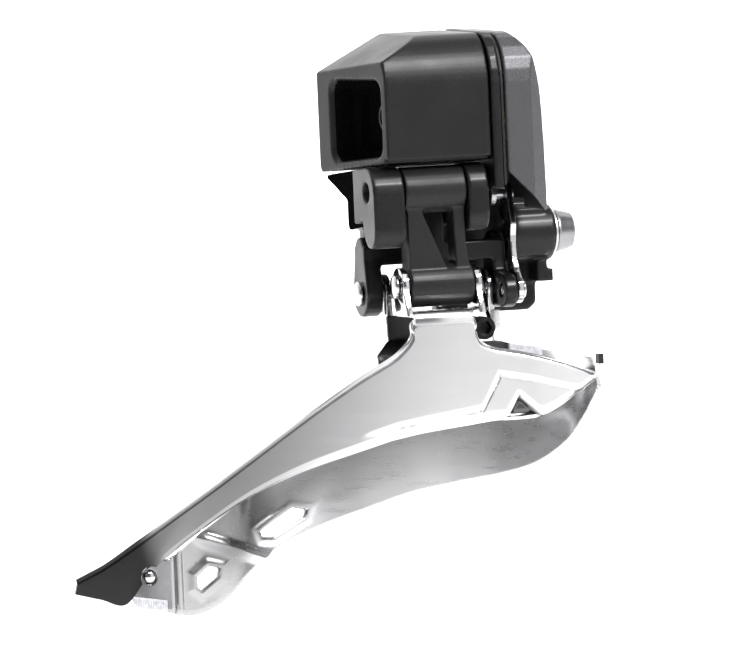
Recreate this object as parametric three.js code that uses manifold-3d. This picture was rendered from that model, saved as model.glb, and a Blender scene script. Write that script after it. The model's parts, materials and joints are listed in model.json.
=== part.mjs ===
// Electric front derailleur for a road bicycle, millimetres, +Z up.
// Origin: centre of the clamp face on the clamp bolt's axis. +X is forward, -Y is outboard.
import * as THREE from 'three';
import { mergeVertices } from 'three/addons/utils/BufferGeometryUtils.js';
import Module from 'manifold-3d';

const wasm = await Module();
wasm.setup();

// pivots as [y, z]; every pivot axis runs along X
const linkLength = 17;
const pivotA = [-16, 9.5];
const pivotC = [-5, 8];
const pivotB = [pivotA[0], pivotA[1] - linkLength];
const pivotD = [pivotC[0], pivotC[1] - linkLength];
const pivotG = [-11.5, -9.5];
const pivotE = [-0.5, 25];
const pivotF = [pivotE[0] + pivotG[0] - pivotC[0], pivotE[1] + pivotG[1] - pivotC[1]];

// gear train
const module_ = 0.35;
const outputTeeth = 26;
const idlerTeeth = 28;
const smallTeeth = 10;
const firstCentres = module_ * (outputTeeth + smallTeeth) / 2;
const secondCentres = module_ * (idlerTeeth + smallTeeth) / 2;
const idlerAxis = fromPoint(pivotE, firstCentres, 205);
const motorAxis = fromPoint(idlerAxis, secondCentres, 115);

// case
const outboardSide = -20;
const inboardSide = 6;
const caseTop = 36.9;
const caseRear = -40.3;
const caseFront = -16.4;
const plateRear = -16.1;
const plateFront = -14.4;
const coverRear = -13.4;
const wall = 1.2;

// cage
const plateThickness = 1;
const outerPlane = -22;
const innerPlane = -11;

const gap = 0.3;

function fromPoint([y, z], distance, degrees) {
  const angle = THREE.MathUtils.degToRad(degrees);
  return [y + distance * Math.cos(angle), z + distance * Math.sin(angle)];
}

const finishes = {
  blackPaint: [0x1b1b1d, 0.5, 0.1],
  blackGloss: [0x141416, 0.3, 0.1],
  greyPaint: [0x5b5b60, 0.42, 0.6],
  chrome: [0xd8d9dc, 0.12, 1],
  brushed: [0xb4b5b8, 0.28, 1],
  steel: [0x9b9ca0, 0.35, 1],
  blackSteel: [0x202022, 0.45, 0.6],
  resin: [0x17171a, 0.6, 0],
  frosted: [0xc9cbcf, 0.5, 0.1],
  board: [0x0f3d24, 0.55, 0],
  brass: [0xb58c3c, 0.35, 1],
};

const derailleur = new THREE.Group();

function toSolid(geometry) {
  const bare = geometry.index ? geometry.toNonIndexed() : geometry.clone();
  for (const name of Object.keys(bare.attributes)) {
    if (name !== 'position') bare.deleteAttribute(name);
  }
  const merged = mergeVertices(bare, 1e-4);
  return new wasm.Manifold(new wasm.Mesh({
    numProp: 3,
    vertProperties: new Float32Array(merged.attributes.position.array),
    triVerts: new Uint32Array(merged.index.array),
  }));
}

function toGeometry(solid) {
  const mesh = solid.getMesh();
  const geometry = new THREE.BufferGeometry();
  geometry.setAttribute('position', new THREE.BufferAttribute(new Float32Array(mesh.vertProperties), 3));
  geometry.setIndex(new THREE.BufferAttribute(new Uint32Array(mesh.triVerts), 1));
  geometry.computeVertexNormals();
  return geometry;
}

function join(first, ...rest) {
  return rest.reduce((sum, solid) => sum.add(solid), first);
}

function cut(first, ...rest) {
  return rest.reduce((left, solid) => left.subtract(solid), first);
}

function place(name, solid, finish) {
  const [color, roughness, metalness] = finishes[finish];
  const material = new THREE.MeshStandardMaterial({ color, roughness, metalness });
  const mesh = new THREE.Mesh(toGeometry(solid), material);
  mesh.name = name;
  derailleur.add(mesh);
}

function box([x0, x1], [y0, y1], [z0, z1]) {
  const geometry = new THREE.BoxGeometry(x1 - x0, y1 - y0, z1 - z0);
  return toSolid(geometry.translate((x0 + x1) / 2, (y0 + y1) / 2, (z0 + z1) / 2));
}

// round bar along X about [y, z]
function barX(radius, [x0, x1], [y, z], sides = 20) {
  const geometry = new THREE.CylinderGeometry(radius, radius, x1 - x0, sides);
  geometry.rotateZ(-Math.PI / 2);
  return toSolid(geometry.translate((x0 + x1) / 2, y, z));
}

// round bar along Y about [x, z]
function barY(radius, [y0, y1], [x, z], sides = 20) {
  return toSolid(new THREE.CylinderGeometry(radius, radius, y1 - y0, sides).translate(x, (y0 + y1) / 2, z));
}

function extrude(points, depth) {
  return new THREE.ExtrudeGeometry(new THREE.Shape(points), { depth, bevelEnabled: false, curveSegments: 6 });
}

// outline of [y, z] points drawn out along X
function prismX(outline, [x0, x1]) {
  const geometry = extrude(outline.map(([y, z]) => new THREE.Vector2(y, z)), x1 - x0);
  const turn = new THREE.Matrix4().makeBasis(
    new THREE.Vector3(0, 1, 0), new THREE.Vector3(0, 0, 1), new THREE.Vector3(1, 0, 0));
  return toSolid(geometry.applyMatrix4(turn).translate(x0, 0, 0));
}

// outline of [x, z] points drawn out along Y
function prismY(outline, [y0, y1]) {
  const geometry = extrude(outline.map(([x, z]) => new THREE.Vector2(x, z)), y1 - y0);
  return toSolid(geometry.rotateX(Math.PI / 2).translate(0, y1, 0));
}

// outline of [x, y] points drawn out along Z
function prismZ(outline, [z0, z1]) {
  const geometry = extrude(outline.map(([x, y]) => new THREE.Vector2(x, y)), z1 - z0);
  return toSolid(geometry.translate(0, 0, z0));
}

function arc([cx, cy], [rx, ry], from, to, steps) {
  const points = [];
  for (let i = 0; i <= steps; i++) {
    const angle = THREE.MathUtils.degToRad(from + (to - from) * i / steps);
    points.push([cx + rx * Math.cos(angle), cy + ry * Math.sin(angle)]);
  }
  return points;
}

// smallest convex outline round some circles, each [y, z, radius]
function hull(circles, steps = 20) {
  const points = circles.flatMap(([y, z, radius]) => arc([y, z], [radius, radius], 0, 360, steps).slice(1));
  points.sort((a, b) => a[0] - b[0] || a[1] - b[1]);
  const turn = (o, a, b) => (a[0] - o[0]) * (b[1] - o[1]) - (a[1] - o[1]) * (b[0] - o[0]);
  const half = (list) => {
    const chain = [];
    for (const point of list) {
      while (chain.length > 1 && turn(chain.at(-2), chain.at(-1), point) < 1e-4) chain.pop();
      chain.push(point);
    }
    return chain.slice(0, -1);
  };
  return [...half(points), ...half(points.reverse())];
}

// end outline of the case, drawn in by inset; the underside slopes down towards the frame
function caseOutline(inset, lowOutboard, lowInboard) {
  const side = outboardSide + inset;
  const far = inboardSide - inset;
  const top = caseTop - inset;
  const shoulder = [7 - inset * 0.5, 9 - inset * 0.5];
  return [
    [side, lowOutboard + inset], [far, lowInboard + inset], [far, top - 2], [far - 2, top],
    ...arc([side + shoulder[0], top - shoulder[1]], shoulder, 90, 180, 6),
  ];
}

const caseLowOutboard = 14.4;
const caseLowInboard = 12.6;

function motorHousing() {
  const shell = prismX(caseOutline(0, caseLowOutboard, caseLowInboard), [caseRear, caseFront]);
  const cavity = prismX(caseOutline(wall, caseLowOutboard, caseLowInboard), [-29.3, caseFront + 1]);
  const rearSlant = prismZ([[-43, -22], [-35.8, -22], [-40.6, 8], [-43, 8]], [0, 50]);
  const rearChamfer = prismY([[-28, caseTop], [-41, 30], [-45, 33], [-45, 42], [-28, 42]], [-25, 10]);
  const mouth = { y: [-18.4, 3], z: [15.2, 29.6] };
  const floor = { y: [-15, 1.2], z: [17.4, 27.6] };
  const recess = taperedPocket(-41, mouth, -32, floor);
  return cut(shell, cavity, rearSlant, rearChamfer, recess);
}

// a pocket that narrows from a mouth rectangle at x0 to a floor rectangle at x1
function taperedPocket(x0, mouth, x1, floor) {
  const corners = (x, { y, z }) => [[x, y[0], z[0]], [x, y[1], z[0]], [x, y[1], z[1]], [x, y[0], z[1]]];
  const points = [...corners(x0, mouth), ...corners(x1, floor)];
  const quads = [[0, 3, 2, 1], [4, 5, 6, 7], [0, 1, 5, 4], [1, 2, 6, 5], [2, 3, 7, 6], [3, 0, 4, 7]];
  const geometry = new THREE.BufferGeometry();
  const triangles = quads.flatMap(([a, b, c, d]) => [a, b, c, a, c, d]);
  geometry.setAttribute('position', new THREE.Float32BufferAttribute(points.flat(), 3));
  geometry.setIndex(triangles);
  return toSolid(geometry);
}

const socketAt = [-11.5, 22.5];
const pinSides = 16;

function cableSocket() {
  return cut(barX(2.2, [-33.8, -32.3], socketAt, 20), barX(1.5, [-35, -33], socketAt));
}

const leftEar = [-39, -33.1];
const rightEar = [-21.2, -17.4];
const earHoleRadius = 1.8;
const supportBoltAt = [-16.8, -16];

function baseBracket() {
  const earOutline = hull([[...pivotA, 4.4], [...pivotC, 5], [5, 11.2, 1], [5, 3, 1]]);
  const leftFoot = prismX(hull([[...pivotA, 4.4], [-17.2, 2.6, 3.2]]), leftEar);
  const rightFoot = prismX(hull([[...pivotA, 4.4], [-17.2, 5, 3.2]]), rightEar);
  const ears = [leftEar, rightEar].map((span) => prismX(earOutline, span));
  const backWall = box([leftEar[0], -1.3], [2.5, 6], [4.3, 12.2]);
  const lowerWall = prismY([[-33.5, 5], [-33.5, -4], [-24, -4], [-24, -9], [-20.5, -12.5], [-20.5, -18],
    [-19.5, -19], [-15.3, -19], [-14.3, -18], [-14.3, -14], [-3.2, -14], [-1.8, -12.8], [-1.3, 5]], [2.5, 6]);
  const clampBoss = join(barX(5.2, [-7.8, 0], [0, 0], 28), box([-7.8, -1.6], [-4, 4], [-4, 4.5]));
  const toe = join(box([-3, -1], [-2.5, 2.7], [-8.8, -5]), box([-3, 0], [-2.5, 2.7], [-8.8, -6.6]));
  const stopBlock = box([-17.6, -14.6], [-11, 3], [2.6, 8.6]);
  // the bracket's rear corner is bevelled towards the frame
  const rearBevel = prismY([[-42, 12.8], [-39, 11.4], [-35.5, 7.4], [-35.5, -6], [-42, -6]], [-8.5, 12]);
  const solids = join(...ears, leftFoot, rightFoot, backWall, lowerWall, clampBoss, toe, stopBlock);
  const body = cut(solids, rearBevel);
  const pivotHoles = [pivotA, pivotC].map((pivot) => barX(earHoleRadius, [-41, -17], pivot));
  const linkRoom = box([-33.1, -21.2], [-25, 2.4], [-15, 16]);
  return cut(body, ...pivotHoles, linkRoom,
    barX(2.8, [-9, 1], [0, 0]),
    barY(2.3, [0, 8], supportBoltAt),
    barY(1.5, [-12, -6], [-16, 5.4]));
}

function lowEdge(inset) {
  return [[outboardSide + inset, 9.3 + inset], [1.8 - inset, 9.3 + inset], [1.8 - inset, 12.9 + inset]];
}

function coverOutline(inset) {
  const upper = caseOutline(inset, 0, 12.9).slice(1);
  return [...lowEdge(inset), ...upper];
}

function gearboxPlate() {
  const plate = prismX(coverOutline(-0.25), [plateRear, plateFront]);
  return cut(plate,
    barX(1.7, [-18, -12], pivotE),
    barX(1.4, [-18, -12], motorAxis));
}

function coverGasket() {
  const ring = [plateFront + gap, coverRear - gap];
  return cut(prismX(coverOutline(0.4), ring), prismX(coverOutline(1.4), [-16, -10]));
}

// side view of the cover: straight back edge, round top, slanted underside
function coverSide(inset) {
  const front = new THREE.SplineCurve([
    new THREE.Vector2(-11, caseTop - inset), new THREE.Vector2(-8.4, 33.8 - inset),
    new THREE.Vector2(-6.6 - inset, 29), new THREE.Vector2(-5.7 - inset, 22),
    new THREE.Vector2(-5.3 - inset, 9),
  ]).getPoints(12).map(({ x, y }) => [x, y]);
  return [[coverRear - inset * 4, caseTop - inset], ...front,
    [-5.3 - inset, 4.7 - inset * 4], [-6 - inset, 4.7 - inset * 4],
    [coverRear - inset * 4, 12.2 - inset * 4]];
}

function frontCover() {
  const sideView = prismY(coverSide(0), [-25, 10]);
  const endView = prismX([[outboardSide, 3], [1.8, 3], [1.8, 12.9], ...caseOutline(0, 0, 12.9).slice(1)],
    [-15, 0]);
  const cornerCut = prismZ([[-9.2, -20.5], [-4, -20.5], [-4, -15.3]], [0, 45]);
  const skin = 1.1;
  const inside = prismY(coverSide(skin), [outboardSide + skin, inboardSide - skin]);
  const upperInside = caseOutline(skin, 0, 12.9).slice(1);
  const insideOutline = [[outboardSide + skin, 0], [0.7, 0], [0.7, 14], ...upperInside];
  const insideEnd = prismX(insideOutline, [-16, 0]);
  const innerCorner = prismZ([[-10.4, -20.9], [-4, -20.9], [-4, -14.3]], [0, 45]);
  const cavity = inside.intersect(insideEnd).subtract(innerCorner);
  const bossRoom = box([-9, -4], [-6.6, 3], [0, 6.4]);
  return cut(sideView.intersect(endView), cornerCut, cavity, bossRoom);
}

// gear blank with involute flanks, tooth centre at angle phase, drawn along X
function gear(teeth, phase, [x0, x1], [y, z]) {
  const pitch = module_ * teeth / 2;
  const base = pitch * Math.cos(THREE.MathUtils.degToRad(20));
  const involute = (radius) => {
    const t = Math.sqrt(Math.max((radius / base) ** 2 - 1, 0));
    return t - Math.atan(t);
  };
  const backlash = 0.05;
  const halfTooth = Math.PI / 2 / teeth - backlash / pitch + involute(pitch);
  const radii = [Math.max(pitch - 1.3 * module_, 0.5), Math.max(base, pitch - module_ * 0.6), pitch,
    pitch + 0.85 * module_];
  const points = [];
  for (let i = 0; i < teeth; i++) {
    const centre = phase + i * 2 * Math.PI / teeth;
    const rising = radii.map((radius) => [radius, centre - halfTooth + involute(radius)]);
    const falling = radii.map((radius) => [radius, centre + halfTooth - involute(radius)]).reverse();
    for (const [radius, angle] of [...rising, ...falling]) {
      points.push([y + radius * Math.cos(angle), z + radius * Math.sin(angle)]);
    }
  }
  return prismX(points, [x0, x1]);
}

function heading([fromY, fromZ], [toY, toZ]) {
  return Math.atan2(toZ - fromZ, toY - fromY);
}

const largeGearX = [-10.1, -8.7];
const smallGearX = [-12.1, -10.4];

function driveCrank() {
  const armX = [coverRear + gap, -12.1];
  const arm = prismX(hull([[...pivotE, 2.6], [...pivotF, 1.9]]), armX);
  const toothed = gear(outputTeeth, heading(pivotE, idlerAxis), [-12.2, -10.6], pivotE);
  const shaft = barX(1.3, [plateRear + 0.4, -10.5], pivotE, 16);
  return cut(join(arm, toothed, shaft), barX(1.2, [-14, -11], pivotF));
}

function idlerGear() {
  const large = gear(idlerTeeth, heading(idlerAxis, motorAxis), [-10.5, largeGearX[1]], idlerAxis);
  const small = gear(smallTeeth, heading(idlerAxis, pivotE) + Math.PI / smallTeeth, smallGearX, idlerAxis);
  const hub = barX(1.2, [-10.8, -9.8], idlerAxis);
  const trimmed = cut(large, cut(barX(9, [-10.8, largeGearX[0]], idlerAxis), hub));
  return cut(join(small, trimmed), barX(0.9, [-13, -6], idlerAxis, 12));
}

function motorPinion() {
  const phase = heading(motorAxis, idlerAxis) + Math.PI / smallTeeth;
  const toothed = gear(smallTeeth, phase, [-10, -8.8], motorAxis);
  return join(toothed, barX(0.8, [-17.9, -8.9], motorAxis, 12));
}

const linkBarrelX = [-32.8, -21.5];

function outerLink() {
  const upper = barX(4.2, linkBarrelX, pivotA, 28);
  const lower = barX(3.9, [-32.3, -20.5], pivotB, 28);
  const depth = [-18.6, -14];
  const ribbedOutline = [[-32.3, 9.5], [-29.6, 9], [-29.4, 5.5], [-25, -5], [-25, -8], [-32.3, -8]];
  const ribbedLeg = prismY(ribbedOutline, depth);
  const plainLeg = prismY([[-23.8, 9.5], [-21.6, 9.5], [-21.6, 0.8], [-20.6, -8], [-23.4, -8]], depth);
  const link = join(upper, lower, ribbedLeg, plainLeg);
  return cut(link, barX(1.8, [-34, -20], pivotA), barX(1.6, [-34, -19], pivotB));
}

const leftCheek = [-37.3, -34.2];
const rightCheek = [-13, -10.7];

function innerLink() {
  const barrel = barX(4, [-32.6, -21.6], pivotC, 24);
  const stem = box([-32, -22], [-8, -2.4], [-3, 8]);
  const web = box([leftCheek[0], rightCheek[1]], [-8, -2.4], [-4, -0.5]);
  const leftSide = prismX(hull([[-5.2, -1.3, 2.4], [...pivotD, 4.2]]), leftCheek);
  const rightSide = prismX(hull([[-5.2, -1.4, 2.4], [...pivotD, 3.8]]), rightCheek);
  const horn = prismX(hull([[...pivotD, 3.4], [...pivotG, 3]]), rightCheek);
  const link = join(barrel, stem, web, leftSide, rightSide, horn);
  return cut(link,
    barX(1.8, [-34, -20], pivotC),
    barX(1.7, [-40, -9], pivotD),
    barX(1.2, [-14, -9], pivotG));
}

function driveLink() {
  const blank = prismX(hull([[...pivotF, 2.2], [...pivotG, 2.4]]), [-10.4, -9.3]);
  const waist = (along, side) => {
    const y = pivotF[0] + (pivotG[0] - pivotF[0]) * along;
    const z = pivotF[1] + (pivotG[1] - pivotF[1]) * along;
    return barX(9, [-11, -7], [y + side * 9.9, z], 48);
  };
  return cut(blank, waist(0.5, 1), waist(0.5, -1),
    barX(1.4, [-11, -7], pivotF, 16),
    barX(1.4, [-11, -7], pivotG, 16));
}

function headedPin(radius, headRadius, [x0, x1], pivot) {
  return join(barX(radius, [x0, x1], pivot, 16), barX(headRadius, [x0 - 0.7, x0 + 0.01], pivot, 20));
}

// torsion coil round the lower inner pivot
function saverSpring() {
  const turns = 5;
  const radius = 2.7;
  const [x0, x1] = [-30.8, -21.6];
  const path = new THREE.CatmullRomCurve3(Array.from({ length: turns * 10 + 1 }, (_, i) => {
    const angle = i / 10 * 2 * Math.PI;
    return new THREE.Vector3(x0 + (x1 - x0) * i / (turns * 10),
      pivotD[0] + radius * Math.cos(angle), pivotD[1] + radius * Math.sin(angle));
  }));
  const wire = new THREE.Shape(arc([0, 0], [0.42, 0.42], 0, 300, 5).map(([x, y]) => new THREE.Vector2(x, y)));
  const options = { steps: turns * 12, bevelEnabled: false, extrudePath: path };
  return toSolid(new THREE.ExtrudeGeometry(wire, options));
}

function socketBolt([y0, headY], reach, at, radius, headRadius) {
  const head = barY(headRadius, [y0, headY], at, 24);
  const hexagon = barY(radius * 0.62, [y0 - 1, y0 + 1.4], at, 6);
  return cut(join(head, barY(radius, [headY - 0.01, reach], at, 16)), hexagon);
}

function clampBolt() {
  const head = new THREE.LatheGeometry([[0, 4.4], [2.9, 4.4], [3.2, 4.1], [3.95, 1.4], [3.95, 1], [2.4, 1],
    [2.4, -6.8], [2, -7.3], [0, -7.3]].reverse().map(([r, x]) => new THREE.Vector2(r, x)), 28);
  const hexagon = new THREE.CylinderGeometry(2.3, 2.3, 4, 6).translate(0, 3.9, 0);
  const bolt = toSolid(head).subtract(toSolid(hexagon));
  return bolt.rotate([0, 0, -90]);
}

function radiusWasher() {
  return cut(barX(4.2, [gap, 0.9], [0, 0], 28), barX(2.7, [-1, 3], [0, 0], 20));
}

// sheet lofted between an upper and a lower space curve; bow pushes its middle towards the frame
function formedPlate(upper, lower, bow, columns, rows) {
  const curve = (line) => new THREE.CatmullRomCurve3(line.map((point) => new THREE.Vector3(...point)));
  const [upperEdge, lowerEdge] = [curve(upper), curve(lower)];
  const front = [];
  for (let i = 0; i <= columns; i++) {
    const high = upperEdge.getPoint(i / columns);
    const low = lowerEdge.getPoint(i / columns);
    for (let j = 0; j <= rows; j++) {
      const v = j / rows;
      const point = high.clone().lerp(low, v);
      point.y += bow * 4 * v * (1 - v) * Math.sin(Math.PI * i / columns);
      front.push(point);
    }
  }
  const size = front.length;
  const positions = [-plateThickness / 2, plateThickness / 2]
    .flatMap((shift) => front.flatMap(({ x, y, z }) => [x, y + shift, z]));
  const index = [];
  const quad = (a, b, c, d) => index.push(a, b, c, a, c, d);
  const at = (i, j) => i * (rows + 1) + j;
  for (let i = 0; i < columns; i++) {
    for (let j = 0; j < rows; j++) {
      const [a, b, c, d] = [at(i, j), at(i, j + 1), at(i + 1, j + 1), at(i + 1, j)];
      quad(a, b, c, d);
      quad(a + size, d + size, c + size, b + size);
    }
    quad(at(i, 0), at(i + 1, 0), at(i + 1, 0) + size, at(i, 0) + size);
    quad(at(i + 1, rows), at(i, rows), at(i, rows) + size, at(i + 1, rows) + size);
  }
  for (let j = 0; j < rows; j++) {
    quad(at(0, j + 1), at(0, j), at(0, j) + size, at(0, j + 1) + size);
    quad(at(columns, j), at(columns, j + 1), at(columns, j + 1) + size, at(columns, j) + size);
  }
  const geometry = new THREE.BufferGeometry();
  geometry.setAttribute('position', new THREE.Float32BufferAttribute(positions, 3));
  geometry.setIndex(index);
  return toSolid(geometry);
}

const outerUpper = [
  [-97.4, -21.2, -55.4], [-85.8, -21.8, -48.8], [-74, outerPlane, -43.1], [-57, outerPlane, -32.9],
  [-46, outerPlane, -25.5], [-37.5, outerPlane, -19.9], [-27.9, outerPlane, -18], [-16.4, outerPlane, -19],
  [-10.4, outerPlane, -20.9], [-4.7, -21.9, -22.7], [0.7, -21, -24.6]];
const outerLower = [
  [-98, -21.2, -58], [-89, -21.8, -60], [-79, outerPlane, -52.3], [-61, outerPlane, -42.7],
  [-50, outerPlane, -37.8], [-38.6, outerPlane, -34.7], [-27.9, outerPlane, -33], [-16.4, outerPlane, -32],
  [-10.4, outerPlane, -31.8], [-4, -21.9, -29.2], [0.6, -21, -25.8]];

function outerPlate() {
  const plate = formedPlate(outerUpper, outerLower, 0, 22, 2);
  const half = plateThickness / 2;
  const neck = prismY([[-34.6, -20.4], [-33.2, -17.6], [-32.6, -15.5], [-32.6, -12], [-22, -12],
    [-22, -15.5], [-21.3, -17.6], [-18.6, -20.4]], [outerPlane - half, outerPlane + half]);
  const fold = box([-33.8, -19], [outerPlane - half, -14], [-12.9, -12]);
  const earOutline = hull([[...pivotB, 3.3], [-20.8, -12.3, 0.5], [-14.4, -12.3, 0.5]]);
  const ears = [[-33.8, -32.6], [-20.2, -19]].map((span) => prismX(earOutline, span));
  const shoulderOutline = [[-33.8, -12], [-33.8, -13], [-32.4, -15.5], [-22.1, -15.5], [-19, -13],
    [-19, -12]];
  const shoulders = prismY(shoulderOutline, [outerPlane - half, outerPlane + half]);
  return cut(join(plate, neck, fold, shoulders, ...ears),
    barX(1.6, [-36, -17], pivotB),
    barY(2.2, [-24, -20], tailJoint));
}

const innerUpper = [
  [-79.5, -17, -53.5], [-74, -17, -49.8], [-67, -15, -45], [-57, -11.6, -38], [-47, innerPlane, -31],
  [-38.5, innerPlane, -24], [-33, innerPlane, -20.4], [-24, innerPlane, -19.2], [-15, -11.3, -18.4],
  [-9.5, -11.6, -19.6], [-4.5, -12, -20.8], [0, -12.2, -21.9], [3.6, -12.5, -22.8]];
const innerLower = [
  [-80.2, -17, -62.3], [-74.5, -17, -63.2], [-68.4, -16.6, -60.5], [-58.8, -12.6, -54.4],
  [-49.5, innerPlane, -50.8], [-39.8, innerPlane, -47.4], [-29.7, innerPlane, -44.9],
  [-21, innerPlane, -43.6], [-14.8, -11.5, -42.7], [-9.5, -13.3, -40.8], [-4.8, -16, -37.2],
  [-0.9, -18.8, -31], [1.6, -20.2, -26.2]];

function innerPlate() {
  const plate = formedPlate(innerUpper, innerLower, 1.2, 26, 3);
  const sheet = [[-11.5, -25], [-10.5, -25], [-10.5, -20.6], [-7.7, -17], [-7.7, -13], [-8.7, -13],
    [-8.7, -17.2], [-11.5, -21]];
  const neck = prismX(sheet, [-36.4, -12.4]);
  const earOutline = hull([[...pivotD, 3.3], [-8.2, -14.5, 0.5], [-7.2, -14.5, 0.5]]);
  const ears = [[-33.6, -32.4], [-14.3, -13.35]].map((span) => prismX(earOutline, span));
  const slot = (points) => prismY(points, [-20, -5]);
  return cut(join(plate, neck, ...ears),
    barX(1.7, [-36, -12], pivotD),
    box([-19.4, -14.3], [-13, -6], [-20.6, -9]),
    slot([[-60.8, -49.6], [-53.7, -45.9], [-50.9, -46.7], [-51.6, -48], [-58, -50.9]]),
    slot([[-74, -56.6], [-71.9, -54.9], [-69.8, -55.6], [-70.2, -57], [-73.6, -59.3]]));
}

function noseBridge() {
  return prismX([[-20.1, -24.6], [-13.9, -23.2], [-13.9, -22.2], [-20.1, -23.6]], [-6.5, -2.5]);
}

const tailJoint = [-84, -56];

function tailBridge() {
  const plate = prismY([[-87.6, -57.2], [-83, -53], [-80, -53], [-80, -62], [-86, -61.2]], [-21.2, -20.2]);
  const bend = box([-81, -80], [-20.3, -17.8], [-61.6, -54]);
  return cut(join(plate, bend), barY(1.3, [-24, -16], tailJoint));
}

function tailRivet() {
  return join(barY(0.95, [-21.6, -19.6], tailJoint, 16), barY(1.9, [-19.9, -19.2], tailJoint, 20));
}

const motorCan = barX(6.6, [-29, -18.5], motorAxis, 28);
const motorEndCap = cut(barX(6, [-18.2, -16.5], motorAxis, 24), barX(1.3, [-20, -15], motorAxis));
const linkPin = join(barX(0.9, [-12.8, -8.8], pivotG, pinSides), barX(1.6, [-9, -8.5], pivotG, pinSides));
const skidPlate = prismY([[-12.6, -18.9], [-6.4, -19.9], [-6.4, -22.4], [-12.6, -21.4]], [-13.7, -12.8]);
const tailGuide = prismY([[-88, -59.2], [-81.4, -60.3], [-81.4, -62.2], [-86.8, -61.3]], [-19.7, -18.5]);

place('motor_housing', motorHousing(), 'blackPaint');
place('base_bracket', baseBracket(), 'blackGloss');
place('cable_socket', cableSocket(), 'resin');
place('socket_contact', barX(0.5, [-33.7, -33.05], socketAt, 12), 'brass');
place('motor_can', motorCan, 'steel');
place('motor_end_cap', motorEndCap, 'resin');
place('circuit_board', box([-29, -17.2], [0, 1.2], [17, 34]), 'board');
place('gearbox_plate', gearboxPlate(), 'blackPaint');
place('cover_gasket', coverGasket(), 'resin');
place('front_cover', frontCover(), 'greyPaint');
place('idler_axle', barX(0.6, [-12, -7.7], idlerAxis, 12), 'steel');
place('outer_pivot_pin', barX(1.5, [-39.2, -16.8], pivotA, pinSides), 'chrome');
place('inner_pivot_pin', barX(1.5, [-35.2, -17.9], pivotC, pinSides), 'chrome');
place('outer_link', outerLink(), 'blackPaint');
place('inner_link', innerLink(), 'blackGloss');
place('cage_inner_pin', headedPin(1.35, 2.2, [-37.5, -10.6], pivotD), 'chrome');
place('link_pin', linkPin, 'chrome');
place('saver_spring', saverSpring(), 'steel');
place('drive_crank', driveCrank(), 'steel');
place('crank_pin', barX(0.9, [-13, -8.7], pivotF, pinSides), 'steel');
place('drive_link', driveLink(), 'chrome');
place('idler_gear', idlerGear(), 'brass');
place('motor_pinion', motorPinion(), 'steel');
place('clamp_bolt', clampBolt(), 'brushed');
place('radius_washer', radiusWasher(), 'steel');
place('support_bolt', socketBolt([-13, -10], 7, supportBoltAt, 2, 2.1), 'blackSteel');
place('stroke_screw', socketBolt([-11.4, -10.4], -6.6, [-16, 5.4], 1.2, 1.2), 'blackSteel');
place('outer_plate', outerPlate(), 'chrome');
place('inner_plate', innerPlate(), 'chrome');
place('cage_outer_pin', headedPin(1.3, 2.1, [-34.2, -18.3], pivotB), 'chrome');
place('nose_bridge', noseBridge(), 'chrome');
place('nose_bumper', box([4.2, 5.1], [-13.6, -11.6], [-23.6, -21.8]), 'resin');
place('skid_plate', skidPlate, 'frosted');
place('tail_bridge', tailBridge(), 'chrome');
place('tail_rivet', tailRivet(), 'chrome');
place('tail_guide', tailGuide, 'frosted');

export default derailleur;
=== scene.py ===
import json
import math

import bmesh
import bpy
from mathutils import Matrix, Vector

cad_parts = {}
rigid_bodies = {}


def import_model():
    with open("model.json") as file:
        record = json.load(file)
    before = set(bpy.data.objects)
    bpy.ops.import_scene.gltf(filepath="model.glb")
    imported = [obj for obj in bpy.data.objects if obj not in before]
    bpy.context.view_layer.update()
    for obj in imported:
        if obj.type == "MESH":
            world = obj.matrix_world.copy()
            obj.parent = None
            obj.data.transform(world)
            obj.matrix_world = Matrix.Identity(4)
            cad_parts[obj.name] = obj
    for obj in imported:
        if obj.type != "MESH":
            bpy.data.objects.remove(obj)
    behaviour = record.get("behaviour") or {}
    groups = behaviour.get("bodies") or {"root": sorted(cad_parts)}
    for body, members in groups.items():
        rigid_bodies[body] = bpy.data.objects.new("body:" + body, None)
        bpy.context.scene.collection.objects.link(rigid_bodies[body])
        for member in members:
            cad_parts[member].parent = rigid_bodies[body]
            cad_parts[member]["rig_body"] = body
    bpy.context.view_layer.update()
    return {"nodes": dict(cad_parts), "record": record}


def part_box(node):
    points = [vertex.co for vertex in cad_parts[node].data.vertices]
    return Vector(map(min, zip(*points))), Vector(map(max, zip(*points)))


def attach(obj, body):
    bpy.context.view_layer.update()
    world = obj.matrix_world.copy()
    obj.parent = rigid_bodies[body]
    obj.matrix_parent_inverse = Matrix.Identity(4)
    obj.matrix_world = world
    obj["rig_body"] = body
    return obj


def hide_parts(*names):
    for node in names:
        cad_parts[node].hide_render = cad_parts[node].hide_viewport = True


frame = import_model()
nodes = frame["nodes"]
mm = 0.001


# small helpers

def bodyOf(node):
    return nodes[node]["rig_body"]


def newPiece(name, mesh, material):
    piece = bpy.data.objects.new(name, mesh)
    bpy.context.scene.collection.objects.link(piece)
    piece.data.materials.clear()
    piece.data.materials.append(material)
    return piece


def bake(piece):
    # turns a piece and its modifiers into one plain mesh
    bpy.context.view_layer.update()
    evaluated = piece.evaluated_get(bpy.context.evaluated_depsgraph_get())
    mesh = bpy.data.meshes.new_from_object(evaluated)
    piece.modifiers.clear()
    piece.data = mesh


def smoothShade(piece, angle):
    bm = bmesh.new()
    bm.from_mesh(piece.data)
    for face in bm.faces:
        face.smooth = True
    for edge in bm.edges:
        if len(edge.link_faces) == 2 and edge.calc_face_angle(0) > math.radians(angle):
            edge.smooth = False
    bm.to_mesh(piece.data)
    bm.free()


def settle(piece, body, slot, *replaced):
    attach(piece, body)
    if replaced:
        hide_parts(*replaced)


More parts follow.
